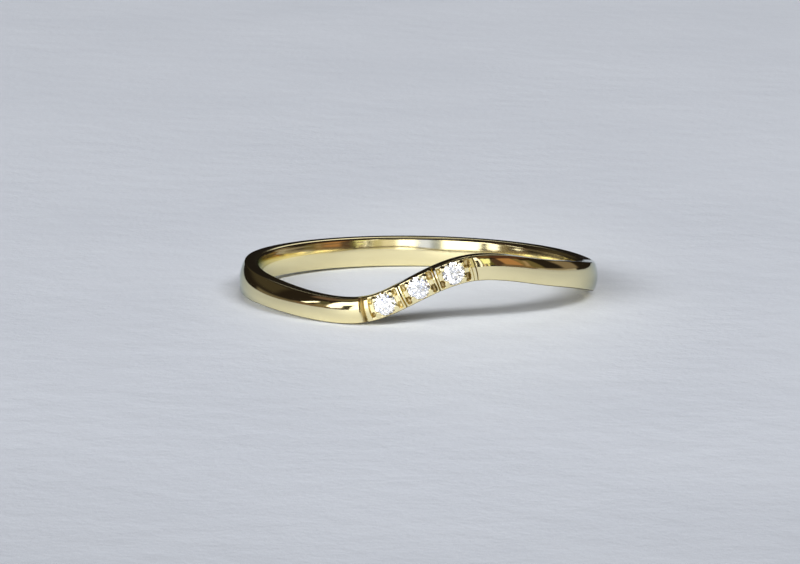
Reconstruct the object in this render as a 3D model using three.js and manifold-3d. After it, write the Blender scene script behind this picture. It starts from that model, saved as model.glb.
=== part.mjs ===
/**
 * A contour wedding ring lying on its side: one wavy yellow-gold band, with three small round
 * brilliant-cut diamonds bead-set along the rise of the wave.
 *
 * Millimetres, +Z up. The finger's axis is upright, apart from the small tilt at which the ring
 * lies, and the stones are at the front, towards -Y. The origin is below the middle of the ring,
 * on the surface that it lies on.
 */
import * as THREE from 'three';
import { mergeVertices } from 'three/addons/utils/BufferGeometryUtils.js';
import { ConvexGeometry } from 'three/addons/geometries/ConvexGeometry.js';
import Module from 'manifold-3d';

// The band. Its section has a domed outer face, two flat side faces and a gently bowed inner face.
const INNER_RADIUS = 8.65;
const THICKNESS = 1.0;
const OUTER_RADIUS = INNER_RADIUS + THICKNESS;
const FRONT_WIDTH = 1.34;
const BACK_WIDTH = 1.64;
const OUTER_BOW = 0.2; // how far the outer face falls from its crest to its edges
const INNER_BOW = 0.14; // the same on the inner face
const INNER_CORNER = { front: 0.09, back: 0.22 }; // radius of the inner face's rounded edges

// The band changes from its front section to its back section between these angles.
const WIDENING = { start: 35, end: 105 };

// On the left the section is turned, so that the outer face looks up by up to this many degrees.
// The turn grows from one angle to the next, stays, and fades between the last two.
const TWIST = { degrees: 9, from: -28, full: -58, until: -78, to: -108 };

// The wave: how high the band's middle line runs at each angle, in degrees from the front, with
// the rise to the right. The line is a uniform B-spline over these heights, and is level elsewhere.
const WAVE_STEP = 15;
const WAVE = [
  { angle: -90, height: -0.06 },
  { angle: -75, height: -0.13 },
  { angle: -60, height: -0.19 },
  { angle: -45, height: -0.38 },
  { angle: -30, height: -0.58 },
  { angle: -15, height: -0.52 },
  { angle: 0, height: 0.96 },
  { angle: 15, height: 2.03 },
  { angle: 30, height: 1.84 },
  { angle: 45, height: 1.33 },
  { angle: 60, height: 0.98 },
  { angle: 75, height: 0.52 },
  { angle: 90, height: 0.15 },
];

// The stones: round brilliants. Each ring of corners has a radius and a height in parts of the
// stone's diameter, the height counted from the girdle's upper edge; turn is in steps of one facet.
const STONE_DIAMETER = 1.2;
const STONE_PITCH = 2.0;
const TABLE_PROUD = 0.03; // how far the table stands above the band's crest
const BRILLIANT = [
  { ring: 'table', corners: 8, turn: 0, radius: 0.285, height: 0.148 },
  { ring: 'star tips', corners: 8, turn: 0.5, radius: 0.392, height: 0.095 },
  { ring: 'girdle top', corners: 16, turn: 0, radius: 0.5, height: 0 },
  { ring: 'girdle bottom', corners: 16, turn: 0, radius: 0.5, height: -0.03 },
  { ring: 'pavilion breaks', corners: 8, turn: 0.5, radius: 0.115, height: -0.372 },
  { ring: 'culet', corners: 1, turn: 0, radius: 0, height: -0.465 },
];
const CROWN_HEIGHT = BRILLIANT[0].height * STONE_DIAMETER;
const STONES = [
  { name: 'stone_left', place: -STONE_PITCH },
  { name: 'stone_middle', place: 0 },
  { name: 'stone_right', place: STONE_PITCH },
];

// The setting. Each stone lies in a window cut across the band. Between two windows the band stands
// as a bar with a groove along its middle, and grooves part the setting's ends from the plain band:
// a broad one on the left, two fine ones on the right. Four bead prongs hold each stone, and behind
// each bead there is the hollow that its metal was pushed up from.
const FLOOR = TABLE_PROUD - CROWN_HEIGHT; // the windows' floor, at the girdles, from the crest
const WINDOW = { halfFloor: 0.83, halfTop: 0.88 };
const GROOVES = [
  { middle: -3.25, half: 0.17, depth: 0.2 },
  { middle: -STONE_PITCH / 2, half: 0.045, depth: 0.15 },
  { middle: STONE_PITCH / 2, half: 0.045, depth: 0.15 },
  { middle: 2.98, half: 0.03, depth: 0.05 },
  { middle: 3.2, half: 0.035, depth: 0.1 },
];
const BEAD = { fromStone: 0.5, across: 0.41, radius: 0.16, height: 0.1 };
const HOLLOW = { fromStone: 0.75, across: 0.36, halfLength: 0.13, halfWidth: 0.19, depth: 0.17 };
const SEAT_CLEARANCE = 0.025; // between a stone's girdle and its seat
const DRILL = { radius: 0.32, below: 0.15 }; // the hole to the finger, from below each girdle

// The cuts at the right end lean along the band, by slope mm for each mm across it. The lean grows
// between two distances from the front and fades between two more.
const LEAN = { slope: -0.22, from: 2.3, full: 2.95, until: 3.35, to: 3.95 };

// How finely the band, its beads, its hollows and its drilled holes are faceted.
const STATIONS = 120;
const OUTER_FACETS = 10;
const INNER_FACETS = 5;
const CORNER_FACETS = 2;
const BEAD_FACETS = { round: 12, up: 8 };
const DRILL_FACETS = 16;

const WELD = 1e-5; // vertices nearer than this are one vertex

const GOLD = new THREE.MeshStandardMaterial({ color: 0xd9c27e, roughness: 0.12, metalness: 1 });
const DIAMOND = new THREE.MeshStandardMaterial({ color: 0xf4f6fb, roughness: 0.02, metalness: 0 });

const wasm = await Module();
wasm.setup();

/** The four heights that shape the wave around an angle, and how far the angle is past the second. */
function waveNeighbours(angle) {
  const turns = Math.round(360 / WAVE_STEP);
  const step = Math.floor(THREE.MathUtils.radToDeg(angle) / WAVE_STEP);
  const heights = [-1, 0, 1, 2].map((offset) => {
    const wrapped = THREE.MathUtils.euclideanModulo(step + offset + turns / 2, turns) - turns / 2;
    const row = WAVE.find((entry) => entry.angle === wrapped * WAVE_STEP);
    return row ? row.height : 0;
  });
  return { heights, t: THREE.MathUtils.radToDeg(angle) / WAVE_STEP - step };
}

/** Height of the band's middle line at an angle in radians. */
function waveHeight(angle) {
  const { heights, t } = waveNeighbours(angle);
  const [a, b, c, d] = heights;
  const blend = a * (1 - t) ** 3 + b * (3 * t ** 3 - 6 * t ** 2 + 4);
  return (blend + c * (-3 * t ** 3 + 3 * t ** 2 + 3 * t + 1) + d * t ** 3) / 6;
}

/** How steeply the middle line climbs at an angle, as an angle in radians. */
function waveClimb(angle) {
  const { heights, t } = waveNeighbours(angle);
  const [a, b, c, d] = heights;
  const blend = -a * (1 - t) ** 2 + b * (3 * t ** 2 - 4 * t) + c * (-3 * t ** 2 + 2 * t + 1);
  const perRadian = (blend + d * t ** 2) / 2 / THREE.MathUtils.degToRad(WAVE_STEP);
  return Math.atan2(perRadian, OUTER_RADIUS);
}

/** A measure that changes from the front to the back, at an angle in radians between -pi and pi. */
function frontToBack(front, back, angle) {
  const away = Math.abs(THREE.MathUtils.radToDeg(angle));
  const changed = THREE.MathUtils.smoothstep(away, WIDENING.start, WIDENING.end);
  return THREE.MathUtils.lerp(front, back, changed);
}

function bandWidth(angle) {
  return frontToBack(FRONT_WIDTH, BACK_WIDTH, angle);
}

/** How much the outer face looks up at an angle, in radians. */
function twistAt(angle) {
  const left = -THREE.MathUtils.radToDeg(angle);
  const grown = THREE.MathUtils.smoothstep(left, -TWIST.from, -TWIST.full);
  const faded = THREE.MathUtils.smoothstep(left, -TWIST.until, -TWIST.to);
  return THREE.MathUtils.degToRad(TWIST.degrees) * grown * (1 - faded);
}

/** The place across mm from the middle line and outward mm beyond the crest, at an angle. */
function bandPoint(angle, across, outward) {
  const climb = waveClimb(angle);
  const turned = angle - (across * Math.sin(climb)) / OUTER_RADIUS;
  const radius = OUTER_RADIUS + outward - across * Math.tan(twistAt(angle));
  return new THREE.Vector3(
    radius * Math.sin(turned),
    -radius * Math.cos(turned),
    waveHeight(angle) + across * Math.cos(climb),
  );
}

/** The angle at which the middle line has run a distance from the front. */
function angleAlong(distance) {
  const steps = 200;
  const step = distance / steps;
  let angle = 0;
  for (let i = 0; i < steps; i += 1) {
    angle += (step * Math.cos(waveClimb(angle))) / OUTER_RADIUS;
  }
  return angle;
}

/** A frame on the crest, a distance along the band: X along it, Y across it and Z outwards. */
function crestFrame(distance) {
  const angle = angleAlong(distance);
  const climb = waveClimb(angle);
  const level = Math.cos(climb);
  const along = new THREE.Vector3(
    level * Math.cos(angle),
    level * Math.sin(angle),
    Math.sin(climb),
  );
  const outward = new THREE.Vector3(Math.sin(angle), -Math.cos(angle), 0);
  const across = new THREE.Vector3().crossVectors(outward, along);
  return new THREE.Matrix4()
    .makeBasis(along, across, outward)
    .setPosition(bandPoint(angle, 0, 0));
}

/** Height of an arc above its own ends' level, across mm from its middle. */
function bow(across, width, rise) {
  const radius = (width ** 2 / 4 + rise ** 2) / (2 * rise);
  return Math.sqrt(radius ** 2 - across ** 2) - (radius - rise);
}

/**
 * The band's section at an angle: its outer face, one side face, its inner face and back. A groove
 * lowers the outer face by its depth, and a window cuts it down to a level.
 */
function section({ angle, groove, level }) {
  const width = bandWidth(angle);
  const corner = frontToBack(INNER_CORNER.front, INNER_CORNER.back, angle);
  const outer = [];
  for (let i = 0; i <= OUTER_FACETS; i += 1) {
    const across = width * (0.5 - i / OUTER_FACETS);
    const face = bow(across, width, OUTER_BOW) - OUTER_BOW;
    outer.push({ across, outward: Math.min(face - groove, level) });
  }
  const flat = width - 2 * corner;
  const innerFace = (across) => INNER_BOW - bow(across, width, INNER_BOW) - THICKNESS;
  const inner = [];
  for (let i = 1; i < INNER_FACETS; i += 1) {
    const across = flat * (i / INNER_FACETS - 0.5);
    inner.push({ across, outward: innerFace(across) });
  }
  const rounded = [];
  for (let i = 0; i <= CORNER_FACETS; i += 1) {
    const turn = (Math.PI / 2) * (i / CORNER_FACETS);
    const across = flat / 2 + corner * Math.cos(turn);
    rounded.push({ across, outward: innerFace(flat / 2) + corner * (1 - Math.sin(turn)) });
  }
  const lowerEdge = rounded.map(({ across, outward }) => ({ across: -across, outward }));
  return [...outer, ...lowerEdge, ...inner, ...rounded.reverse()];
}

/** How much the cuts lean at a distance along the band. */
function leanAt(distance) {
  const grown = THREE.MathUtils.smoothstep(distance, LEAN.from, LEAN.full);
  return LEAN.slope * grown * (1 - THREE.MathUtils.smoothstep(distance, LEAN.until, LEAN.to));
}

/** The stations across one groove. */
function grooveStations({ middle, half, depth }) {
  return [
    { distance: middle - half, groove: 0, level: 0 },
    { distance: middle, groove: depth, level: 0 },
    { distance: middle + half, groove: 0, level: 0 },
  ];
}

/** The stations across the window of the stone at a place along the band. */
function windowStations({ place }) {
  return [
    { distance: place - WINDOW.halfTop, groove: 0, level: 0 },
    { distance: place - WINDOW.halfFloor, groove: 0, level: FLOOR },
    { distance: place, groove: 0, level: FLOOR },
    { distance: place + WINDOW.halfFloor, groove: 0, level: FLOOR },
    { distance: place + WINDOW.halfTop, groove: 0, level: 0 },
  ];
}

/** Where the section is placed: once for each cut of the setting, and evenly round the rest. */
function stations() {
  const setting = [...GROOVES.flatMap(grooveStations), ...STONES.flatMap(windowStations)]
    .sort((a, b) => a.distance - b.distance)
    .map((cut) => ({ ...cut, angle: angleAlong(cut.distance), lean: leanAt(cut.distance) }));
  const step = (2 * Math.PI) / STATIONS;
  const plain = Array.from({ length: STATIONS }, (unused, i) => (i - STATIONS / 2) * step)
    .map((angle) => ({ angle, groove: 0, level: 0, lean: 0 }));
  return [
    ...plain.filter(({ angle }) => angle < setting[0].angle - step / 2),
    ...setting,
    ...plain.filter(({ angle }) => angle > setting.at(-1).angle + step / 2),
  ];
}

/** The band without its beads and seats: the section carried once round the wave. */
function sweptBandGeometry() {
  const positions = [];
  const triangles = [];
  const rows = stations().map((station) => {
    const { angle, lean } = station;
    const pace = Math.cos(waveClimb(angle)) / OUTER_RADIUS;
    return section(station).map(({ across, outward }) =>
      bandPoint(angle + across * lean * pace, across, outward));
  });
  const corners = rows[0].length;
  rows.forEach((row, i) => {
    row.forEach((point, j) => {
      positions.push(...point.toArray());
      const here = [i * corners + j, i * corners + ((j + 1) % corners)];
      const next = here.map((index) => (index + corners) % (rows.length * corners));
      triangles.push(here[0], here[1], next[1], here[0], next[1], next[0]);
    });
  });
  const geometry = new THREE.BufferGeometry();
  geometry.setAttribute('position', new THREE.Float32BufferAttribute(positions, 3));
  geometry.setIndex(triangles);
  return geometry;
}

/** A closed geometry as a solid that can be joined and cut, without the slivers at its poles. */
function toSolid(geometry) {
  const bare = new THREE.BufferGeometry();
  bare.setAttribute('position', geometry.getAttribute('position'));
  bare.setIndex(geometry.getIndex());
  const merged = mergeVertices(bare, WELD);
  const vertProperties = Float32Array.from(merged.getAttribute('position').array);
  const index = merged.getIndex().array;
  const kept = [];
  for (let i = 0; i < index.length; i += 3) {
    const corners = index.slice(i, i + 3);
    if (new Set(corners).size === 3) kept.push(...corners);
  }
  const triVerts = Uint32Array.from(kept);
  return new wasm.Manifold(new wasm.Mesh({ numProp: 3, vertProperties, triVerts }));
}

/** A solid as a geometry with merged vertices. */
function toGeometry(solid) {
  const { vertProperties, triVerts, numProp } = solid.getMesh();
  const geometry = new THREE.BufferGeometry();
  const positions = [];
  for (let i = 0; i < vertProperties.length; i += numProp) {
    positions.push(...vertProperties.slice(i, i + 3));
  }
  geometry.setAttribute('position', new THREE.Float32BufferAttribute(positions, 3));
  geometry.setIndex(Array.from(triVerts));
  return mergeVertices(geometry, WELD);
}

/** A round brilliant's corners, its girdle's upper edge at z = 0 and its table up. */
function brilliantCorners(diameter) {
  return BRILLIANT.flatMap(({ corners, turn, radius, height }) =>
    Array.from({ length: corners }, (unused, k) => {
      const azimuth = (2 * Math.PI * (k + turn)) / corners;
      return new THREE.Vector3(
        diameter * radius * Math.cos(azimuth),
        diameter * radius * Math.sin(azimuth),
        diameter * height,
      );
    }),
  );
}

/** A brilliant of a given diameter, its girdle's upper edge on the floor of its window. */
function brilliantGeometry(diameter) {
  return new ConvexGeometry(brilliantCorners(diameter)).translate(0, 0, FLOOR);
}

/** What a stone's seat takes out: the stone with its clearance, and the drilled hole under it. */
function seatCutters() {
  const stone = brilliantGeometry(STONE_DIAMETER + 2 * SEAT_CLEARANCE);
  const hole = new THREE.CylinderGeometry(DRILL.radius, DRILL.radius, THICKNESS, DRILL_FACETS)
    .rotateX(Math.PI / 2)
    .translate(0, 0, FLOOR - DRILL.below - THICKNESS / 2);
  return [stone, hole];
}

/** Four equal rounds, one towards each corner of a window, their middles on its floor. */
function cornerRounds({ fromStone, across }, halfLength, halfWidth, halfHeight) {
  return [-1, 1].flatMap((end) =>
    [-1, 1].map((side) =>
      new THREE.SphereGeometry(1, BEAD_FACETS.round, BEAD_FACETS.up)
        .rotateX(Math.PI / 2)
        .scale(halfLength, halfWidth, halfHeight)
        .translate(end * fromStone, side * across, FLOOR),
    ),
  );
}

/** The four bead prongs of a stone, small domes on the window's floor. */
function beadGeometries() {
  return cornerRounds(BEAD, BEAD.radius, BEAD.radius, BEAD.height);
}

/** The four hollows behind a stone's beads. */
function hollowGeometries() {
  return cornerRounds(HOLLOW, HOLLOW.halfLength, HOLLOW.halfWidth, HOLLOW.depth);
}

/** The finished band: the hollows cut, the beads raised, then the seats cut through both. */
function bandGeometry() {
  let band = toSolid(sweptBandGeometry());
  for (const { place } of STONES) {
    const atStone = (geometry) => toSolid(geometry.applyMatrix4(crestFrame(place)));
    for (const hollow of hollowGeometries()) {
      band = band.subtract(atStone(hollow));
    }
    for (const bead of beadGeometries()) {
      band = band.add(atStone(bead));
    }
    for (const cutter of seatCutters()) {
      band = band.subtract(atStone(cutter));
    }
  }
  return toGeometry(band);
}

/**
 * The turn that lays the ring on its side. It lies on the lowest place of the wave and on the
 * band's level edge straight across from it.
 */
function restingTurn() {
  const lowEdge = (angle, outward) => bandPoint(angle, -bandWidth(angle) / 2, outward);
  const lowest = Array.from({ length: STATIONS }, (unused, i) => (2 * Math.PI * i) / STATIONS - Math.PI)
    .map((angle) => lowEdge(angle, INNER_BOW - THICKNESS))
    .reduce((low, point) => (point.z < low.z ? point : low));
  const opposite = lowEdge(Math.atan2(lowest.x, -lowest.y) + Math.PI, -OUTER_BOW);
  const reach = opposite.clone().sub(lowest);
  const axis = new THREE.Vector3(-reach.y, reach.x, 0).normalize();
  return new THREE.Quaternion().setFromAxisAngle(axis, Math.asin(reach.z / reach.length()));
}

function namedMesh(name, geometry, material) {
  const mesh = new THREE.Mesh(geometry, material);
  mesh.name = name;
  return mesh;
}

/** A stone in its seat. */
function stoneMesh({ name, place }) {
  const merged = toGeometry(toSolid(brilliantGeometry(STONE_DIAMETER)));
  const mesh = namedMesh(name, merged, DIAMOND);
  crestFrame(place).decompose(mesh.position, mesh.quaternion, mesh.scale);
  return mesh;
}

const upright = new THREE.Group();
upright.add(namedMesh('band', bandGeometry(), GOLD), ...STONES.map(stoneMesh));
upright.quaternion.copy(restingTurn());

// The origin goes below the middle of the ring, on the surface that it lies on.
const ring = new THREE.Group();
ring.add(upright);
const box = new THREE.Box3().setFromObject(ring, true);
const middle = box.getCenter(new THREE.Vector3());
upright.position.set(-middle.x, -middle.y, -box.min.z);

export default ring;
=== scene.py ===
"""A contour wedding ring lying on pale paper: one polished yellow-gold band and three brilliants.

The band is made again here, finer than the CAD one, from the same driving dimensions, and laid in
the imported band's place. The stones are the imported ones, with a diamond material.
"""

import itertools
import math

import bpy
import numpy as np
from mathutils import Matrix, Vector


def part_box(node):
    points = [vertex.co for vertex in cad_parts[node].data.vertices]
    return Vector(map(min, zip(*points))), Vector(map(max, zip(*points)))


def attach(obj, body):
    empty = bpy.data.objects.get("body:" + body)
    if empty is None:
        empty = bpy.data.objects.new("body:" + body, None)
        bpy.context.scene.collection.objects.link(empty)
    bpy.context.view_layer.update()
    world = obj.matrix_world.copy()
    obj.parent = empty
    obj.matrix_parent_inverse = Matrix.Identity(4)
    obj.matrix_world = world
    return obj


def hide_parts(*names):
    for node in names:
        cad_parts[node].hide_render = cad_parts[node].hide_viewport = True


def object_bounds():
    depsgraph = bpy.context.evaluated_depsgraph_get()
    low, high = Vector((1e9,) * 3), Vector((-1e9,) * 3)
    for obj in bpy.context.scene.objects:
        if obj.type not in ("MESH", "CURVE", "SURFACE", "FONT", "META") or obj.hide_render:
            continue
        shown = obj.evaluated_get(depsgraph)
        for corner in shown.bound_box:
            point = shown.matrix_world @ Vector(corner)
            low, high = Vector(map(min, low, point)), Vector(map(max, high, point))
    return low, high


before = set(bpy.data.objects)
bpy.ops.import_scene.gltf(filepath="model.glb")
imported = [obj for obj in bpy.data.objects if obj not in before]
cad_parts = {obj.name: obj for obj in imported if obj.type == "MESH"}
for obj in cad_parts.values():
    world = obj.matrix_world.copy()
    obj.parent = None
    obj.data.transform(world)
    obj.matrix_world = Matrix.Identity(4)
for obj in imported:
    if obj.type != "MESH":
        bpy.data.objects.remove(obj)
cad_low, cad_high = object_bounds()

MM = 0.001

# ---- Driving dimensions, in millimetres and degrees, mostly as in the CAD source ----------------

INNER_RADIUS = 8.65
THICKNESS = 1.0
OUTER_RADIUS = INNER_RADIUS + THICKNESS
FRONT_WIDTH = 1.34
BACK_WIDTH = 1.64
OUTER_BOW = 0.2
INNER_BOW = 0.14
INNER_CORNER = {"front": 0.09, "back": 0.22}
WIDENING = {"start": 35, "end": 105}
# On the left the section is turned, so that its outer face looks up by up to this many degrees. The
# turn grows from one angle to the next, stays, and fades between the last two.
TWIST = {"degrees": 9, "from": -28, "full": -58, "until": -78, "to": -108}

WAVE_STEP = 15
WAVE = {
    # angle: height of the band's middle line, fitted to the photo by a scratch script (see report.md)
    -90: -0.06,
    -75: -0.13,
    -60: -0.19,
    -45: -0.38,
    -30: -0.58,
    -15: -0.52,
    0: 0.96,
    15: 2.03,
    30: 1.84,
    45: 1.33,
    60: 0.98,
    75: 0.52,
    90: 0.15,
}

STONE_DIAMETER = 1.2
STONE_RADIUS = STONE_DIAMETER / 2
STONE_PITCH = 2.0
STONE_PLACES = (-STONE_PITCH, 0.0, STONE_PITCH)
TABLE_PROUD = 0.03
CROWN_HEIGHT = 0.148 * STONE_DIAMETER
GIRDLE_HEIGHT = 0.03 * STONE_DIAMETER
PAVILION_DEPTH = 0.435 * STONE_DIAMETER
FLOOR = TABLE_PROUD - CROWN_HEIGHT

WINDOW = {"half_floor": 0.83, "half_top": 0.88}
# A bead stands a little proud of the outer face. The fuller it is, the flatter its top.
BEAD = {"from_stone": 0.5, "across": 0.41, "radius": 0.16, "proud": 0.02, "fullness": 2.6}
HOLLOW = {"from_stone": 0.75, "across": 0.36, "half_length": 0.13, "half_width": 0.19, "depth": 0.17}
HOLLOW_FULLNESS = 3  # how flat the hollows' middles are
# Painted shade darkens the gold's colour in each hollow and groove by these amounts, with a matt finish as
# well.
HOLLOW_SIZE_AND_SHADE = {
    # stone, end along the band, side: its size against the common one, and how dull and how darkened by
    # painted shade it is
    (0, -1, 1): (0.8, 0.12),
    (0, -1, -1): (0.7, 0.45),
    (0, 1, 1): (1.0, 0.2),
    (0, 1, -1): (1.0, 0.28),
    (1, -1, 1): (1.05, 0.2),
    (1, -1, -1): (1.1, 0.5),
    (1, 1, 1): (1.25, 0.45),
    (1, 1, -1): (1.2, 0.45),
    (2, -1, 1): (0.85, 0.15),
    (2, -1, -1): (1.1, 0.5),
    (2, 1, 1): (1.3, 0.5),
    (2, 1, -1): (1.25, 0.4),
}
GROOVES = [
    # middle along the band, half width, depth, how dull and how darkened by painted shade it is below and
    # above the crest
    (-3.25, 0.17, 0.2, 0.45, 0.45),
    (-1.0, 0.045, 0.15, 0.2, 2.1),
    (1.0, 0.045, 0.15, 0.2, 0.2),
    (2.98, 0.03, 0.05, 1.1, 1.1),
    (3.2, 0.035, 0.1, 1.3, 1.2),
]
# The cuts at the right end lean along the band, by slope mm for each mm across it. The lean grows
# between two distances from the front and fades between two more.
LEAN = {"slope": -0.22, "from": 2.3, "full": 2.95, "until": 3.35, "to": 3.95}
DRILL_RADIUS = 0.32

# ---- What the CAD band leaves out or has otherwise ----------------------------------------------

OUTER_CORNER = {"front": 0.075, "back": 0.14}  # radius of the outer face's rounded edges
OUTER_CORNER_START = 30  # slope in degrees at which the outer face turns into its rounded edge
SEAT_CLEARANCE = 0.02  # between a stone's girdle and its seat
SEAT_BOTTOM = -1.4 * THICKNESS  # where the seat's cutter ends, inside the ring
CROWN_RUN = 0.43 * STONE_RADIUS  # how far in from the girdle a stone's table begins
LOWER_EDGE_SHADE = 0.125  # how dark a line of painted shade the outer face's lower edge gets, and how dull it is, on the scale of the cuts
INSIDE_FROM_TO = (0.55, 0.85)  # depths under the crest between which the inner face's finish begins

# ---- How fine the band is made ------------------------------------------------------------------

SETTING_END = 4.0  # how far from the front the fine rows reach
SETTING_STEP = 0.018
NEAREST_ROWS = 0.004  # rows nearer to each other than this are made one
RUN_REACH = 40  # degrees to each side of the front, over which distances along the band are summed
RUN_POINTS = 4001
PLAIN_STEPS = 260
OUTER_POINTS = 68
INNER_POINTS = 14
SIDE_POINTS = 4
CORNER_POINTS = 8
SEAT_SEGMENTS = 64
SHARP_ANGLE = 20  # degrees between two faces from which their edge is not shaded smooth
RESTING_STEP = 3.0  # degrees between the places that are tried for the wave's lowest one


# ---- The band's shape ---------------------------------------------------------------------------

def wave_blend(angle, weights):
    """The wave's spline at angles in radians, for the four weights of its height or its slope."""
    turns = 360 // WAVE_STEP
    steps = [(k + turns // 2) % turns - turns // 2 for k in range(turns)]
    heights = np.array([WAVE.get(step * WAVE_STEP, 0.0) for step in steps])
    place = np.degrees(angle) / WAVE_STEP
    step = np.floor(place).astype(int)
    t = place - step
    return sum(weight(t) * heights[(step + k - 1) % turns] for k, weight in enumerate(weights))


HEIGHT_WEIGHTS = (
    lambda t: (1 - t) ** 3 / 6,
    lambda t: (3 * t ** 3 - 6 * t ** 2 + 4) / 6,
    lambda t: (-3 * t ** 3 + 3 * t ** 2 + 3 * t + 1) / 6,
    lambda t: t ** 3 / 6,
)
SLOPE_WEIGHTS = (
    lambda t: -(1 - t) ** 2 / 2,
    lambda t: (3 * t ** 2 - 4 * t) / 2,
    lambda t: (-3 * t ** 2 + 2 * t + 1) / 2,
    lambda t: t ** 2 / 2,
)


def wave_height(angle):
    """Height of the band's middle line at angles in radians, in mm."""
    return wave_blend(angle, HEIGHT_WEIGHTS)


def wave_climb(angle):
    """How steeply the middle line climbs at angles in radians, in radians."""
    slope = wave_blend(angle, SLOPE_WEIGHTS) / math.radians(WAVE_STEP)
    return np.arctan2(slope, OUTER_RADIUS)


def smoothstep(value, low, high):
    """0 below low, 1 above high, and a smooth change between."""
    t = np.clip((value - low) / (high - low), 0.0, 1.0)
    return t * t * (3 - 2 * t)


def front_to_back(front, back, angle):
    """A measure that changes from the front to the back, at angles in radians from -pi to pi."""
    away = np.abs(np.degrees(angle))
    return front + (back - front) * smoothstep(away, WIDENING["start"], WIDENING["end"])


def band_width(angle):
    """How wide the band is at an angle in radians, in mm."""
    return front_to_back(FRONT_WIDTH, BACK_WIDTH, angle)


def twist(angle):
    """How much the outer face looks up at angles in radians, in radians."""
    left = -np.degrees((np.asarray(angle) + math.pi) % (2 * math.pi) - math.pi)
    grown = smoothstep(left, -TWIST["from"], -TWIST["full"])
    return math.radians(TWIST["degrees"]) * grown * (1 - smoothstep(left, -TWIST["until"], -TWIST["to"]))


def band_points(angle, across, outward):
    """Points in mm at angles, across from the middle line and outward of the crest."""
    climb = wave_climb(angle)
    turned = angle - across * np.sin(climb) / OUTER_RADIUS
    radius = OUTER_RADIUS + outward - across * np.tan(twist(angle))
    height = wave_height(angle) + across * np.cos(climb)
    return np.stack([radius * np.sin(turned), -radius * np.cos(turned), height], axis=-1)


def angles_along(distances):
    """The angles at which the middle line has run these distances from the front."""
    fine = np.radians(np.linspace(-RUN_REACH, RUN_REACH, RUN_POINTS))
    pace = OUTER_RADIUS / np.cos(wave_climb(fine))
    run = np.concatenate([[0.0], np.cumsum((pace[1:] + pace[:-1]) / 2 * np.diff(fine))])
    run -= np.interp(0.0, fine, run)
    return np.interp(distances, run, fine)


def crest_frame(distance):
    """The frame on the crest at a distance along the band, in mm: X along, Y across, Z outwards."""
    angle = float(angles_along(np.array([distance]))[0])
    climb = float(wave_climb(np.array([angle]))[0])
    along = Vector((math.cos(climb) * math.cos(angle), math.cos(climb) * math.sin(angle), math.sin(climb)))
    outward = Vector((math.sin(angle), -math.cos(angle), 0.0))
    across = outward.cross(along)
    place = band_points(np.array([angle]), np.array([0.0]), np.array([0.0]))[0]
    rotation = Matrix((along, across, outward)).transposed().to_4x4()
    return Matrix.Translation(Vector(place)) @ rotation


def bow(across, width, rise):
    """Height of an arc above its own ends' level, across mm from its middle."""
    radius = (width ** 2 / 4 + rise ** 2) / (2 * rise)
    return np.sqrt(radius ** 2 - across ** 2) - (radius - rise)


def section(width, outer_corner, corner):
    """The section's rounded outline as (across, outward, on the outer face, on its lower edge)."""
    half = width / 2
    start = math.radians(OUTER_CORNER_START)
    face_half = half - outer_corner * (1 - math.sin(start))
    outer_middle = bow(face_half, width, OUTER_BOW) - OUTER_BOW - outer_corner * math.cos(start)
    inner_edge = INNER_BOW - bow(half - corner, width, INNER_BOW) - THICKNESS
    points = []
    for t in np.linspace(1, -1, OUTER_POINTS):
        across = t * face_half
        points.append((across, bow(across, width, OUTER_BOW) - OUTER_BOW, True, False))
    for k in range(1, CORNER_POINTS + 1):
        turn = start + (math.pi / 2 - start) * k / CORNER_POINTS
        points.append((-half + outer_corner * (1 - math.sin(turn)),
                       outer_middle + outer_corner * math.cos(turn), False, True))
    for t in np.linspace(0, 1, SIDE_POINTS + 2)[1:-1]:
        high = inner_edge + corner
        points.append((-half, outer_middle + (high - outer_middle) * t, False, False))
    for k in range(CORNER_POINTS):
        turn = math.radians(90 * k / CORNER_POINTS)
        points.append((-half + corner * (1 - math.cos(turn)),
                       inner_edge + corner * (1 - math.sin(turn)), False, False))
    for t in np.linspace(-1, 1, INNER_POINTS):
        across = t * (half - corner)
        points.append((across, INNER_BOW - bow(across, width, INNER_BOW) - THICKNESS, False, False))
    lower_side = points[OUTER_POINTS:-INNER_POINTS]
    upper_side = [(-across, outward, False, False) for across, outward, *unused in reversed(lower_side)]
    return points + upper_side


def setting_rows():
    """Where the fine rows of the setting lie along the band: evenly, and on each crease that is cut."""
    creases = [g[0] + side * g[1] for g in GROOVES for side in (-1, 0, 1)]
    for place in STONE_PLACES:
        for reach in (WINDOW["half_floor"], WINDOW["half_top"]):
            creases += [place - reach, place + reach]
    creases = np.array(sorted(creases))
    even = np.arange(-SETTING_END, SETTING_END + SETTING_STEP / 2, SETTING_STEP)
    gaps = np.abs(even[:, None] - creases[None, :]).min(axis=1)
    rows = np.sort(np.concatenate([even[gaps > SETTING_STEP / 3], creases]))
    return rows[np.concatenate([[True], np.diff(rows) > NEAREST_ROWS])]


def row_lean(row):
    """How much the cuts lean at a distance along the band."""
    grown = smoothstep(row, LEAN["from"], LEAN["full"])
    return LEAN["slope"] * grown * (1 - smoothstep(row, LEAN["until"], LEAN["to"]))


def cut_grooves(row, across, height, dulling_and_shade):
    """Lowers a row by the grooves that it crosses."""
    for middle, half, depth, below, above in GROOVES:
        cut = depth * max(0.0, 1 - abs(row - middle) / half)
        # painted shade: each groove darkens the gold's colour by its depth, by its own share on each side
        # of the crest
        dulling_and_shade = dulling_and_shade + cut * np.where(across > 0, above, below)
        height = height - cut
    return height, dulling_and_shade


def cut_windows(distance, height):
    """Lowers the outer face to the windows' floor and their sloping ends."""
    for place in STONE_PLACES:
        away = np.abs(distance - place)
        ramp = (away - WINDOW["half_floor"]) / (WINDOW["half_top"] - WINDOW["half_floor"])
        level = FLOOR * (1 - np.clip(ramp, 0, 1))
        height = np.where(away < WINDOW["half_top"], np.minimum(height, level), height)
    return height


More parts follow.
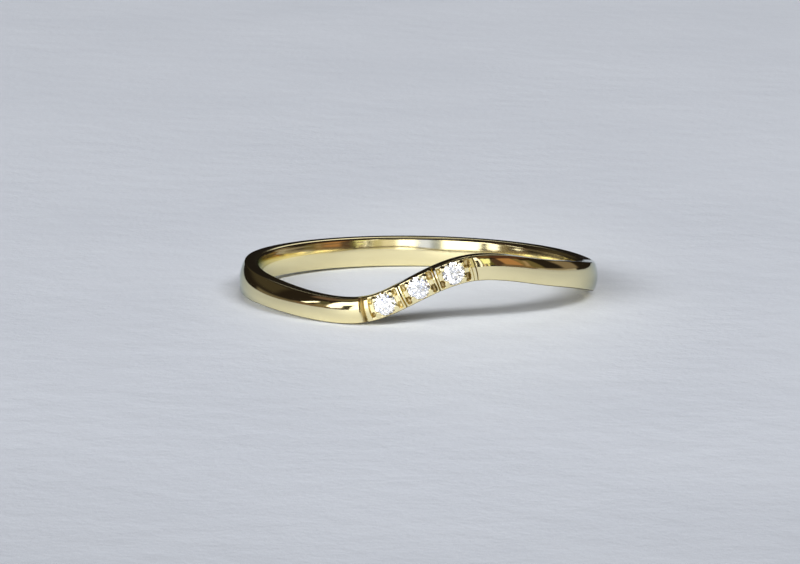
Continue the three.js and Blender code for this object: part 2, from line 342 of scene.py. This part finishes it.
def cut_hollows(distance, across, height, dulling_and_shade):
    """Sinks the hollows behind the beads."""
    for (stone, end, side), (size, matt_and_shaded) in HOLLOW_SIZE_AND_SHADE.items():
        middle = STONE_PLACES[stone] + end * HOLLOW["from_stone"]
        u = np.abs(distance - middle) / (HOLLOW["half_length"] * size)
        v = np.abs(across - side * HOLLOW["across"]) / (HOLLOW["half_width"] * size)
        bowl = HOLLOW["depth"] * np.clip(1 - u ** HOLLOW_FULLNESS - v ** HOLLOW_FULLNESS, 0, None)
        height = height - bowl
        # painted shade: each hollow darkens the gold's colour by its depth
        dulling_and_shade = dulling_and_shade + bowl * matt_and_shaded
    return height, dulling_and_shade


def raise_beads(distance, across, face, height, dulling_and_shade):
    """Raises the four polished beads of each stone from the windows' floor."""
    for place, end, side in itertools.product(STONE_PLACES, (-1, 1), (-1, 1)):
        u = (distance - place - end * BEAD["from_stone"]) / BEAD["radius"]
        v = (across - side * BEAD["across"]) / BEAD["radius"]
        inside = np.clip(1 - np.sqrt(u ** 2 + v ** 2) ** BEAD["fullness"], 0, None)
        dome = FLOOR + (face + BEAD["proud"] - FLOOR) * inside ** (1 / BEAD["fullness"])
        dulling_and_shade = np.where((inside > 0) & (dome > height), 0.0, dulling_and_shade)
        height = np.where(inside > 0, np.maximum(height, dome), height)
    return height, dulling_and_shade


def setting_cut(row, across, face):
    """The outer face's height after the setting is cut, and how much painted shade and dull finish it takes
    from lying in a groove or hollow.
    """
    distance = row + across * row_lean(row)
    height, dulling_and_shade = cut_grooves(row, across, face, np.zeros(across.shape))
    height = cut_windows(distance, height)
    height, dulling_and_shade = cut_hollows(distance, across, height, dulling_and_shade)
    return raise_beads(distance, across, face, height, dulling_and_shade)


def lowered_sides(across, outward, outer, cut):
    """The section below its outer edges, lowered as far as the edges are cut."""
    top = outward[0]
    bottom = INNER_BOW - THICKNESS
    edge = np.where(across > 0, cut[0], cut[np.flatnonzero(outer)[-1]])
    lowered = edge + (outward - top) * (edge - bottom) / (top - bottom)
    return np.where(outer | (outward < bottom), outward, lowered)


def section_arrays(angle):
    """The section's outline at an angle, as four arrays in the order that section gives."""
    outer_corner = front_to_back(OUTER_CORNER["front"], OUTER_CORNER["back"], angle)
    corner = front_to_back(INNER_CORNER["front"], INNER_CORNER["back"], angle)
    outline = section(float(band_width(angle)), float(outer_corner), float(corner))
    return tuple(np.array(column) for column in zip(*outline))


def cut_row(row):
    """A row of the setting: its points in mm, how much painted shade and dull finish each takes from its
    cuts and edge, and how far inside the ring.
    """
    middle = float(angles_along(np.array([row]))[0])
    across, outward, outer, edge = section_arrays(middle)
    cut, dulling_and_shade = setting_cut(row, across, outward)
    angle = angles_along(row + across * row_lean(row))
    height = np.where(outer, cut, lowered_sides(across, outward, outer, cut))
    # painted shade: a dark line along the outer face's lower edge
    matt_and_shaded = np.where(outer, dulling_and_shade, edge * LOWER_EDGE_SHADE)
    return band_points(angle, across, height), matt_and_shaded, smoothstep(-outward, *INSIDE_FROM_TO)


def plain_row(angle):
    """A row of the plain band, with the same measures."""
    across, outward, outer, edge = section_arrays(float(angle))
    points = band_points(np.full(across.shape, angle), across, outward)
    return points, edge * LOWER_EDGE_SHADE, smoothstep(-outward, *INSIDE_FROM_TO)


def swept_band():
    """The band before its seats are cut, in mm, still upright: vertices, quads, and the measures."""
    setting = setting_rows()
    ends = angles_along(setting[[0, -1]])
    plain = np.linspace(ends[1], ends[0] + 2 * math.pi, PLAIN_STEPS + 1)[1:-1]
    plain = (plain + math.pi) % (2 * math.pi) - math.pi
    rows = [cut_row(row) for row in setting] + [plain_row(angle) for angle in plain]
    points, dulling_and_shade_rows, insides = zip(*rows)
    count = len(points)
    corners = len(points[0])
    i, j = np.meshgrid(np.arange(count), np.arange(corners), indexing="ij")
    beside = (j + 1) % corners
    here = i * corners
    after = (i + 1) % count * corners
    quads = np.stack([here + j, here + beside, after + beside, after + j], axis=-1).reshape(-1, 4)
    measures = {"dulling_and_shade": np.concatenate(dulling_and_shade_rows), "inside": np.concatenate(insides)}
    return np.concatenate(points), quads, measures


def new_object(name, vertices, faces):
    """A mesh object in the scene, from vertices and faces."""
    mesh = bpy.data.meshes.new(name)
    mesh.from_pydata([tuple(map(float, v)) for v in vertices], [], [tuple(map(int, f)) for f in faces])
    mesh.update()
    piece = bpy.data.objects.new(name, mesh)
    bpy.context.scene.collection.objects.link(piece)
    return piece


def lathe(profile, segments):
    """Vertices and faces of a closed form turned about Z from (radius, height) rows, ends on the axis."""
    turn = np.arange(segments) * 2 * math.pi / segments
    rings = [[(r * math.cos(t), r * math.sin(t), z) for t in turn] for r, z in profile[1:-1]]
    vertices = [(0, 0, profile[0][1])] + [p for ring in rings for p in ring] + [(0, 0, profile[-1][1])]
    last = len(vertices) - 1
    starts = [1 + row * segments for row in range(len(rings))]
    faces = []
    for k in range(segments):
        n = (k + 1) % segments
        faces.append((0, starts[0] + k, starts[0] + n))
        for above, below in zip(starts, starts[1:]):
            faces.append((above + n, above + k, below + k, below + n))
        faces.append((last, starts[-1] + n, starts[-1] + k))
    return vertices, faces


def seat_profile():
    """The seat that a stone's cutter leaves, in mm from the crest: crown, girdle, cone and drill."""
    wide = STONE_RADIUS + SEAT_CLEARANCE
    girdle_low = FLOOR - GIRDLE_HEIGHT
    cone = PAVILION_DEPTH / STONE_RADIUS
    drill_top = girdle_low - (wide - DRILL_RADIUS) * cone
    top = wide * CROWN_HEIGHT / CROWN_RUN
    blunt = 0.001  # the share of the upper cone at its tip that has a ring of its own
    return [
        (0.0, FLOOR + top),
        (wide * blunt, FLOOR + top * (1 - blunt)),
        (wide, FLOOR + SEAT_CLEARANCE),
        (wide, girdle_low),
        (DRILL_RADIUS, drill_top),
        (DRILL_RADIUS, SEAT_BOTTOM),
        (0.0, SEAT_BOTTOM),
    ]


def cut_seats(band):
    """Cuts the three seats out of the band."""
    vertices, faces = lathe(seat_profile(), SEAT_SEGMENTS)
    all_vertices = []
    all_faces = []
    for place in STONE_PLACES:
        turn = crest_frame(place)
        start = len(all_vertices)
        all_vertices += [turn @ Vector(v) for v in vertices]
        all_faces += [tuple(start + k for k in face) for face in faces]
    cutter = new_object("seat_cutter", all_vertices, all_faces)
    cut = band.modifiers.new("seats", "BOOLEAN")
    cut.operation = "DIFFERENCE"
    cut.solver = "MANIFOLD"
    cut.object = cutter
    bake_modifiers(band)
    bpy.data.objects.remove(cutter)


def bake_modifiers(piece):
    """Puts what a piece's modifiers make in its mesh, and clears them."""
    graph = bpy.context.evaluated_depsgraph_get()
    mesh = bpy.data.meshes.new_from_object(piece.evaluated_get(graph))
    piece.modifiers.clear()
    piece.data = mesh


def resting_turn():
    """The turn that lays the ring on the wave's lowest place and on the edge across from it."""
    def low_edge(angle, outward):
        return band_points(angle, -band_width(angle) / 2, outward)

    around = np.radians(np.arange(-180, 180, RESTING_STEP))
    under = low_edge(around, INNER_BOW - THICKNESS)
    lowest = Vector(under[np.argmin(under[:, 2])])
    across = np.array([math.atan2(lowest.x, -lowest.y) + math.pi])
    reach = Vector(low_edge(across, -OUTER_BOW)[0]) - lowest
    axis = Vector((-reach.y, reach.x, 0.0)).normalized()
    return Matrix.Rotation(math.asin(reach.z / reach.length), 4, axis)


def lay_on_packed_band(band):
    """Turns the band to its rest, in metres, its box's middle over and its underside level with the
    packed band's."""
    band.data.transform(resting_turn())
    band.data.transform(Matrix.Scale(MM, 4))
    packed_low, packed_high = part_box("band")
    places = np.array([v.co for v in band.data.vertices])
    made_low = places.min(0)
    made_high = places.max(0)
    shift = Vector(((packed_low.x + packed_high.x - made_low[0] - made_high[0]) / 2,
                    (packed_low.y + packed_high.y - made_low[1] - made_high[1]) / 2,
                    packed_low.z - made_low[2]))
    band.data.transform(Matrix.Translation(shift))


def make_band():
    """The finished band, with its measures as float attributes for the gold."""
    vertices, quads, measures = swept_band()
    band = new_object("gold_band", vertices, quads)
    for name, values in measures.items():
        measure = band.data.attributes.new(name, "FLOAT", "POINT")
        measure.data.foreach_set("value", values.astype(np.float32))
    cut_seats(band)
    lay_on_packed_band(band)
    band.data.shade_smooth()
    band.data.set_sharp_from_angle(angle=math.radians(SHARP_ANGLE))
    return band


# ---- Materials ----------------------------------------------------------------------------------

# Cloudy patterns: how many clouds to the metre, how much finer detail they have, and how strong it is
PATTERNS = {
    "gold_tone": (240.0, 3.0, 0.5),
    "dull_patches": (1300.0, 1.0, 0.5),
    "scratches": (1.0, 4.0, 0.65),  # to each unit of a place stretched by SCRATCHES_STRETCHED
    "gold_ripple": (420.0, 1.0, 0.5),
    "tool_marks": (9000.0, 2.0, 0.5),
    "diamond_tint": (900.0, 2.0, 0.5),
    "diamond_polish": (5000.0, 2.0, 0.5),
    "paper_mottle": (60.0, 4.0, 0.5),
    "paper_waves": (420.0, 2.0, 0.5),
    "paper_tooth": (2600.0, 5.0, 0.6),
}
# Which values of a pattern are spread evenly from 0 to 1
TONE_FROM_TO = (0.35, 0.65)
PATCHES_FROM_TO = (0.42, 0.58)
SCRATCHES_FROM_TO = (0.3, 0.7)
POLISH_FROM_TO = (0.4, 0.7)
# Bumps: how high the pattern stands in metres, and how strongly the surface's normals follow it
BUMPS = {
    "gold_ripple": (0.00002, 0.25),
    "tool_marks": (0.00003, 0.6),
    "scratches": (0.000002, 0.12),
    "paper_waves": (0.0002, 0.3),
    "paper_tooth": (0.0001, 0.25),
}
SCRATCHES_STRETCHED = (900.0, 900.0, 16000.0)  # clouds to the metre: long round the band, fine across


def node_material(name):
    """A new material, its node tree and its shader."""
    material = bpy.data.materials.new(name)
    material.use_nodes = True
    tree = material.node_tree
    shader = tree.nodes["Principled BSDF"]
    return material, tree, shader


def object_place(tree):
    """Where a point lies on its own object, in metres."""
    return tree.nodes.new("ShaderNodeTexCoord").outputs["Object"]


def measured(tree, name):
    """A float attribute of the mesh."""
    node = tree.nodes.new("ShaderNodeAttribute")
    node.attribute_name = name
    return node.outputs["Fac"]


def noise(tree, vector, pattern):
    """The values of one of PATTERNS at a place."""
    node = tree.nodes.new("ShaderNodeTexNoise")
    for name, number in zip(("Scale", "Detail", "Roughness"), PATTERNS[pattern]):
        node.inputs[name].default_value = number
    tree.links.new(vector, node.inputs["Vector"])
    return node.outputs["Fac"]


def stretched(tree, vector, scale):
    """A place with each direction scaled by its own factor."""
    node = tree.nodes.new("ShaderNodeMapping")
    node.inputs["Scale"].default_value = scale
    tree.links.new(vector, node.inputs["Vector"])
    return node.outputs["Vector"]


def ranged(tree, value, low, high, to_low=0.0, to_high=1.0):
    """A value from low to high, carried evenly to a value from to_low to to_high."""
    node = tree.nodes.new("ShaderNodeMapRange")
    for name, number in (("From Min", low), ("From Max", high), ("To Min", to_low), ("To Max", to_high)):
        node.inputs[name].default_value = number
    tree.links.new(value, node.inputs["Value"])
    return node.outputs["Result"]


def smooth_ranged(tree, value, low, high):
    """A value from low to high, carried smoothly to one from 0 to 1."""
    node = tree.nodes.new("ShaderNodeMapRange")
    node.interpolation_type = "SMOOTHSTEP"
    node.inputs["From Min"].default_value = low
    node.inputs["From Max"].default_value = high
    tree.links.new(value, node.inputs["Value"])
    return node.outputs["Result"]


def mixed_colour(tree, factor, first, second):
    """A colour between two others, each a tuple or a socket."""
    node = tree.nodes.new("ShaderNodeMix")
    node.data_type = "RGBA"
    for name, colour in (("A", first), ("B", second)):
        if isinstance(colour, tuple):
            node.inputs[name].default_value = (*colour, 1.0)
        else:
            tree.links.new(colour, node.inputs[name])
    tree.links.new(factor, node.inputs["Factor"])
    return node.outputs["Result"]


def maths(tree, operation, *values):
    """A sum worked out by the shader, from numbers and sockets."""
    node = tree.nodes.new("ShaderNodeMath")
    node.operation = operation
    for socket, value in zip(node.inputs, values):
        if isinstance(value, (int, float)):
            socket.default_value = value
        else:
            tree.links.new(value, socket)
    return node.outputs[0]


def bump(tree, height, name, after=None):
    """The normals of a surface raised as one of BUMPS, over the normals of another bump."""
    node = tree.nodes.new("ShaderNodeBump")
    distance, strength = BUMPS[name]
    node.inputs["Distance"].default_value = distance
    node.inputs["Strength"].default_value = strength
    tree.links.new(height, node.inputs["Height"])
    if after is not None:
        tree.links.new(after, node.inputs["Normal"])
    return node.outputs["Normal"]


def distance_from(tree, place, middle, sooner):
    """The distance on the paper from its place middle, counted sooner times as far to the sides."""
    centred = tree.nodes.new("ShaderNodeMapping")
    centred.inputs["Location"].default_value = (-middle[0] * sooner, -middle[1], 0)
    centred.inputs["Scale"].default_value = (sooner, 1, 1)
    tree.links.new(place, centred.inputs["Vector"])
    length = tree.nodes.new("ShaderNodeVectorMath")
    length.operation = "LENGTH"
    tree.links.new(centred.outputs["Vector"], length.inputs[0])
    return length.outputs["Value"]


# The gold's colours. Each pair is mottled from one to the other. The dull pair and the black are
# painted shade in the cuts and on the lower edge.
GOLD = {
    "polished": ((0.90, 0.79, 0.455), (0.955, 0.85, 0.51)),
    "dull_and_shaded": ((0.36, 0.27, 0.12), (0.66, 0.53, 0.27)),
    "painted_black": (0.02, 0.016, 0.01),
    "glancing_tint": (0.6, 0.66, 0.72, 1.0),
}
DULL_AND_SHADED_FROM_TO = (0.005, 0.055)  # how dull the gold is where it begins and ends to turn matt and darker by painted shade
PAINTED_BLACK_FROM_TO = (0.1, 0.14)  # the same for painted black shade
GLOSS = (0.035, 0.085)  # the polished gold's roughness
DULL_ROUGHNESS = 0.27  # what is added to it in the cuts
INSIDE_ROUGHNESS = 0.065  # and inside the ring


def gold_colour(tree, place, dulling_and_shade, matt_and_shaded):
    """Yellow gold, with painted shade: olive brown in the cuts and black in the deepest ones."""
    tone = ranged(tree, noise(tree, place, "gold_tone"), *TONE_FROM_TO)
    polished = mixed_colour(tree, tone, *GOLD["polished"])
    patches = ranged(tree, noise(tree, place, "dull_patches"), *PATCHES_FROM_TO)
    dull_and_shaded = mixed_colour(tree, patches, *GOLD["dull_and_shaded"])
    # painted shade: olive brown in the cuts, black in the deepest
    cut = mixed_colour(tree, ranged(tree, dulling_and_shade, *PAINTED_BLACK_FROM_TO), dull_and_shaded, GOLD["painted_black"])
    return mixed_colour(tree, matt_and_shaded, polished, cut)


def gold_material():
    """Polished 14 ct yellow gold with hair scratches, matt where it is left unpolished and darkened there
    by painted shade.
    """
    material, tree, shader = node_material("polished_gold")
    place = object_place(tree)
    dulling_and_shade = measured(tree, "dulling_and_shade")
    matt_and_shaded = ranged(tree, dulling_and_shade, *DULL_AND_SHADED_FROM_TO)
    tree.links.new(gold_colour(tree, place, dulling_and_shade, matt_and_shaded), shader.inputs["Base Color"])
    shader.inputs["Metallic"].default_value = 1.0
    shader.inputs["Specular Tint"].default_value = GOLD["glancing_tint"]
    scratches = noise(tree, stretched(tree, place, SCRATCHES_STRETCHED), "scratches")
    gloss = ranged(tree, scratches, *SCRATCHES_FROM_TO, *GLOSS)
    dulled = maths(tree, "ADD", gloss, ranged(tree, matt_and_shaded, 0, 1, 0, DULL_ROUGHNESS))
    inside = ranged(tree, measured(tree, "inside"), 0, 1, 0, INSIDE_ROUGHNESS)
    tree.links.new(maths(tree, "ADD", dulled, inside), shader.inputs["Roughness"])
    ripple = bump(tree, noise(tree, place, "gold_ripple"), "gold_ripple")
    tool_marks = maths(tree, "MULTIPLY", noise(tree, place, "tool_marks"), matt_and_shaded)
    marked = bump(tree, tool_marks, "tool_marks", ripple)
    tree.links.new(bump(tree, scratches, "scratches", marked), shader.inputs["Normal"])
    return material


DIAMOND = {
    "refraction": 2.42,
    "tints": ((0.74, 0.745, 0.76), (0.87, 0.87, 0.88)),
    "roughness": (0.0, 0.008),
}


def diamond_material():
    """Diamond: clear, very strongly refracting, with a faint uneven tint."""
    material, tree, shader = node_material("diamond")
    place = object_place(tree)
    shader.inputs["Transmission Weight"].default_value = 1.0
    shader.inputs["IOR"].default_value = DIAMOND["refraction"]
    tint = mixed_colour(tree, noise(tree, place, "diamond_tint"), *DIAMOND["tints"])
    tree.links.new(tint, shader.inputs["Base Color"])
    polish = noise(tree, place, "diamond_polish")
    roughness = ranged(tree, polish, *POLISH_FROM_TO, *DIAMOND["roughness"])
    tree.links.new(roughness, shader.inputs["Roughness"])
    return material


# The paper: two mottled colours by the ring, and what they change to further off, round each zone's
# middle. These zones are a painted pool of light: palest under the ring and greyer further off, where
# the light falls off. To the sides they change sooner than to the front and back, by the factor given.
PAPER = {
    "near": ((0.84, 0.88, 0.94), (0.87, 0.91, 0.97)),
    "painted_falloff_zones": [
        # middle, sooner, from and to (the lengths in m), two colours
        ((0.0015, 0.003), 2.5, 0.006, 0.042, (0.695, 0.735, 0.815), (0.725, 0.765, 0.845)),
        ((0.0, 0.1), 3.0, 0.14, 0.175, (0.61, 0.645, 0.715), (0.64, 0.675, 0.745)),
    ],
    "roughness": 0.6,
    "sheen": 0.5,
}


def paper_material():
    """Pale bluish paper, faintly uneven, with a painted pool of light: palest under the ring and greyer
    further off.
    """
    material, tree, shader = node_material("pale_paper")
    place = object_place(tree)
    mottle = ranged(tree, noise(tree, place, "paper_mottle"), *TONE_FROM_TO)
    colour = mixed_colour(tree, mottle, *PAPER["near"])
    # painted light: each zone greys the paper's colour further from the ring, as the light falls off
    for middle, sooner, start, end, *colours in PAPER["painted_falloff_zones"]:
        changed = smooth_ranged(tree, distance_from(tree, place, middle, sooner), start, end)
        colour = mixed_colour(tree, changed, colour, mixed_colour(tree, mottle, *colours))
    tree.links.new(colour, shader.inputs["Base Color"])
    shader.inputs["Roughness"].default_value = PAPER["roughness"]
    shader.inputs["Specular IOR Level"].default_value = PAPER["sheen"]
    waves = bump(tree, noise(tree, place, "paper_waves"), "paper_waves")
    tooth = bump(tree, noise(tree, place, "paper_tooth"), "paper_tooth", waves)
    tree.links.new(tooth, shader.inputs["Normal"])
    return material


# ---- Floor, light and camera --------------------------------------------------------------------

PAPER_REACH = 3.0  # m from the middle to each side
PAPER_GAP = 0.02 * MM  # between the paper and the ring


def make_floor():
    """A sheet of paper, wide enough to reach the horizon."""
    corners = [(x * PAPER_REACH, y * PAPER_REACH, 0) for x, y in ((-1, -1), (1, -1), (1, 1), (-1, 1))]
    floor = new_object("paper_floor", corners, [(0, 1, 2, 3)])
    floor.location.z = cad_low.z - PAPER_GAP
    floor.data.materials.append(paper_material())
    return floor


# The room round the ring, as panels that are painted one over another. Azimuths are from the front
# towards +X and elevations from the horizon, in degrees, as is the softness of a panel's edges. Lean
# is how far a panel's azimuth drops for each degree up.
PANELS = [
    # azimuths, elevations, lean, softness, colour, strength
    ((-165, -104), (12, 36), 0.0, 5.0, (1.0, 0.82, 0.55), 0.055),  # walls on the left
    ((-81, -63), (34, 46), 0.0, 2.5, (1.0, 0.66, 0.55), 0.14),
    ((-64, -53), (37, 46), 0.0, 1.5, (1.0, 0.88, 0.6), 0.15),
    ((-86, -56), (-4, 8), 0.0, 2.5, (1.0, 0.7, 0.5), 0.17),
    ((-69, -60), (1, 24), 0.0, 2.5, (1.0, 0.8, 0.5), 0.2),
    ((-61.5, -50), (7, 33), -0.13, 0.8, (1.0, 1.0, 1.0), 2.4),  # left window
    ((-52, -44), (-4, 33), 0.0, 0.8, (1.0, 1.0, 1.0), 2.4),
    ((-57.5, -49), (-5, 19), 0.0, 1.0, (1.0, 0.99, 0.97), 2.0),
    ((-44, -16.5), (-4, 36), 0.0, 0.8, (1.0, 1.0, 1.0), 2.4),
    ((-50.4, -45.4), (-3, 19), 0.04, 0.5, (0.9, 1.0, 0.85), 0.045),  # something dark before it
    ((-61, -50.5), (-3, 6.5), -1.2, 0.6, (1.0, 0.75, 0.7), 0.05),
    ((-88, -83.2), (9.5, 23), -0.8, 0.8, (1.0, 0.99, 0.95), 2.2),  # a strip of daylight
    ((-68.2, -61.5), (14, 27), 0.0, 1.0, (1.0, 0.95, 0.6), 0.09),
    ((-16.5, -9), (-2, 36), 0.0, 2.0, (0.65, 0.75, 1.0), 0.6),
    ((-9, 2), (-2, 36), 0.0, 2.0, (0.54, 0.62, 1.0), 1.5),  # right window
    ((2, 16.5), (-2, 36), 0.0, 1.5, (1.0, 1.0, 1.0), 2.4),
    ((16.5, 28), (-2, 36), 0.0, 1.5, (1.0, 0.95, 0.8), 0.8),
    ((28, 34.5), (-2, 46), 0.0, 1.5, (1.0, 0.93, 0.6), 0.6),
    ((35, 40.3), (-4, 45), 0.0, 0.4, (1.0, 0.99, 0.95), 1.8),  # the white rim round something black
    ((35.9, 39), (-10, 31), 0.02, 0.25, (1.0, 0.8, 0.5), 0.012),
    ((47.5, 51), (6, 24), 0.0, 0.8, (1.0, 0.9, 0.3), 0.12),
    ((50.5, 59), (2, 31), 0.0, 1.5, (1.0, 0.6, 0.45), 0.075),
    ((41.4, 46.3), (12.5, 36), 0.0, 0.5, (0.97, 1.0, 0.52), 1.1),  # yellow
    ((39, 44.6), (13.5, 34), -0.22, 0.5, (0.97, 1.0, 0.56), 1.1),
    ((41.7, 43.2), (-5, 12), 0.0, 0.4, (1.0, 0.82, 0.6), 0.8),
    ((44.8, 46.4), (-5, 13), 0.0, 0.4, (1.0, 0.95, 0.55), 1.0),
    ((40, 58), (38, 48), 0.0, 1.5, (1.0, 0.6, 0.3), 0.14),
    ((58, 100), (32, 46), 0.0, 3.0, (1.0, 0.45, 0.3), 0.09),
    ((59.5, 75), (8, 32), 0.0, 1.5, (1.0, 0.52, 0.24), 0.42),  # brown wood
    ((56, 84), (0, 8), 0.0, 1.5, (1.0, 0.72, 0.5), 0.16),
    ((75, 82), (4, 31), 0.0, 1.5, (1.0, 0.7, 0.33), 0.23),
    ((82, 92), (4, 27), 0.0, 1.5, (1.0, 0.82, 0.4), 0.14),
    ((73.5, 77), (8, 25), -0.35, 1.0, (1.0, 0.72, 0.5), 0.36),
    ((84, 125), (-4, 4), 0.0, 1.5, (1.0, 0.95, 0.9), 0.42),
    ((111, 129), (4, 24), 0.0, 2.5, (1.0, 0.78, 0.58), 0.22),
    ((92, 112), (2, 5.5), 0.0, 1.5, (1.0, 0.85, 0.7), 0.24),
    ((-125, -84), (-4, 6), 0.0, 3.0, (1.0, 0.85, 0.65), 0.15),
    ((150, 180), (26, 60), 0.0, 4.0, (1.0, 0.98, 0.95), 1.2),  # a soft box behind
    ((-180, -172), (26, 60), 0.0, 3.0, (1.0, 0.98, 0.95), 1.2),
]
ROOM = (0.02, 0.015, 0.012)
CEILING = {"from": 70, "to": 84, "colour": (1.0, 0.99, 0.97), "strength": 0.35}
BACKDROP = (0.52, 0.54, 0.59)  # what the camera sees beyond the paper
ROOM_SHARE = 0.14  # of the room's light that reaches the paper: the lamps give the rest


def looking_direction(tree):
    """The azimuth and the elevation in which the room is seen, in degrees."""
    split = tree.nodes.new("ShaderNodeSeparateXYZ")
    tree.links.new(tree.nodes.new("ShaderNodeTexCoord").outputs["Generated"], split.inputs[0])
    forward = maths(tree, "MULTIPLY", split.outputs["Y"], -1.0)
    azimuth = maths(tree, "DEGREES", maths(tree, "ARCTAN2", split.outputs["X"], forward))
    elevation = maths(tree, "DEGREES", maths(tree, "ARCSINE", split.outputs["Z"]))
    return azimuth, elevation


def between(tree, value, low, high, soft):
    """1 between two values and 0 outside them, with soft edges."""
    above = smooth_ranged(tree, value, low - soft, low + soft)
    below = smooth_ranged(tree, value, high + soft, high - soft)
    return maths(tree, "MULTIPLY", above, below)


def painted_room(tree):
    """The room's light in each direction: the panels over the dim walls, and the ceiling over them."""
    azimuth, elevation = looking_direction(tree)
    light = ROOM
    for azimuths, elevations, lean, soft, colour, strength in PANELS:
        leaning = maths(tree, "ADD", azimuth, maths(tree, "MULTIPLY", elevation, lean)) if lean else azimuth
        sides = between(tree, leaning, *azimuths, soft)
        ends = between(tree, elevation, *elevations, soft)
        panel = tuple(strength * c for c in colour)
        light = mixed_colour(tree, maths(tree, "MULTIPLY", sides, ends), light, panel)
    overhead = smooth_ranged(tree, elevation, CEILING["from"], CEILING["to"])
    ceiling = tuple(CEILING["strength"] * c for c in CEILING["colour"])
    return mixed_colour(tree, overhead, light, ceiling)


def make_room():
    """The world: a dim warm room with bright windows in front, and a pale backdrop for the camera."""
    world = bpy.data.worlds.new("room")
    bpy.context.scene.world = world
    world.use_nodes = True
    tree = world.node_tree
    tree.nodes.clear()
    path = tree.nodes.new("ShaderNodeLightPath").outputs
    background = tree.nodes.new("ShaderNodeBackground")
    seen = mixed_colour(tree, path["Is Camera Ray"], painted_room(tree), BACKDROP)
    tree.links.new(seen, background.inputs["Color"])
    held_back = maths(tree, "MULTIPLY", path["Is Diffuse Ray"], 1.0 - ROOM_SHARE)
    tree.links.new(maths(tree, "SUBTRACT", 1.0, held_back), background.inputs["Strength"])
    output = tree.nodes.new("ShaderNodeOutputWorld")
    tree.links.new(background.outputs[0], output.inputs["Surface"])


# The light through the two windows on the paper, which throws the ring's soft shadows.
LAMP_DISTANCE = 3.6  # m
LAMPS = [
    # name, azimuth, elevation, width and height in m, watts
    ("left_window_light", -28.0, 19.0, (2.7, 0.75), 108.0),
    ("right_window_light", 24.0, 40.0, (2.6, 0.6), 88.0),
]


def hang_lamp(name, azimuth, elevation, size, watts, receivers):
    """Hangs a lamp at its azimuth and elevation, facing the ring, for its receivers only."""
    data = bpy.data.lights.new(name, "AREA")
    data.shape = "RECTANGLE"
    data.size, data.size_y = size
    data.energy = watts
    light = bpy.data.objects.new(name, data)
    light.light_linking.receiver_collection = receivers
    bpy.context.scene.collection.objects.link(light)
    side = math.radians(azimuth)
    rise = math.radians(elevation)
    towards = Vector((math.cos(rise) * math.sin(side), -math.cos(rise) * math.cos(side), math.sin(rise)))
    light.location = towards * LAMP_DISTANCE
    light.rotation_euler = towards.to_track_quat("Z", "Y").to_euler()


def make_lights(floor, stones):
    """The lamps on the paper and in the stones: the gold mirrors only the room."""
    receivers = bpy.data.collections.new("lamp_receivers")
    for piece in [floor] + stones:
        receivers.objects.link(piece)
    for lamp in LAMPS:
        hang_lamp(*lamp, receivers)


CAMERA = {
    "elevation": 9.9,  # degrees above the ring's middle
    "roll": 0.3,  # degrees
    "distance": 250.0,  # mm
    "frame_width": 43.127,  # mm at the ring's middle
    "aim": (-0.997, -1.143),  # mm from the ring's middle to the picture's middle: right and up
    "sensor": 36.0,  # mm
    "sees": (0.01, 20.0),  # m: from and to
}


def make_camera():
    """The camera in front of the ring, a little above it, at the photo's angle."""
    data = bpy.data.cameras.new("camera")
    camera = bpy.data.objects.new("camera", data)
    bpy.context.scene.collection.objects.link(camera)
    data.sensor_width = CAMERA["sensor"]
    data.lens = CAMERA["sensor"] * CAMERA["distance"] / CAMERA["frame_width"]
    data.clip_start, data.clip_end = CAMERA["sees"]
    rise = math.radians(CAMERA["elevation"])
    back = Vector((0.0, -math.cos(rise), math.sin(rise)))
    right = Vector((1.0, 0.0, 0.0))
    up = back.cross(right)
    middle = (cad_low + cad_high) / 2
    aim = middle + (right * CAMERA["aim"][0] + up * CAMERA["aim"][1]) * MM
    camera.location = middle + back * CAMERA["distance"] * MM
    turn = (aim - camera.location).to_track_quat("-Z", "Y").to_matrix()
    camera.rotation_euler = (turn @ Matrix.Rotation(math.radians(CAMERA["roll"]), 3, "Z")).to_euler()
    bpy.context.scene.camera = camera


# ---- The scene ----------------------------------------------------------------------------------

MOST_BOUNCES = 32
CLEAR_BOUNCES = 24  # of these in the gold's mirroring, and as many through the stones


def allow_bounces():
    """Lets light run on between the stones' facets and in the gold."""
    cycles = bpy.context.scene.cycles
    cycles.max_bounces = MOST_BOUNCES
    cycles.glossy_bounces = CLEAR_BOUNCES
    cycles.transmission_bounces = CLEAR_BOUNCES


def coat(piece, material):
    """Gives a piece one material."""
    piece.data.materials.clear()
    piece.data.materials.append(material)


make_camera()
floor = make_floor()
make_room()
allow_bounces()
bpy.context.scene.view_settings.view_transform = "Standard"

band = make_band()
coat(band, gold_material())
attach(band, "root")
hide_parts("band")

diamond = diamond_material()
stones = [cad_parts[name] for name in ("stone_left", "stone_middle", "stone_right")]
make_lights(floor, stones)
for stone in stones:
    coat(stone, diamond)
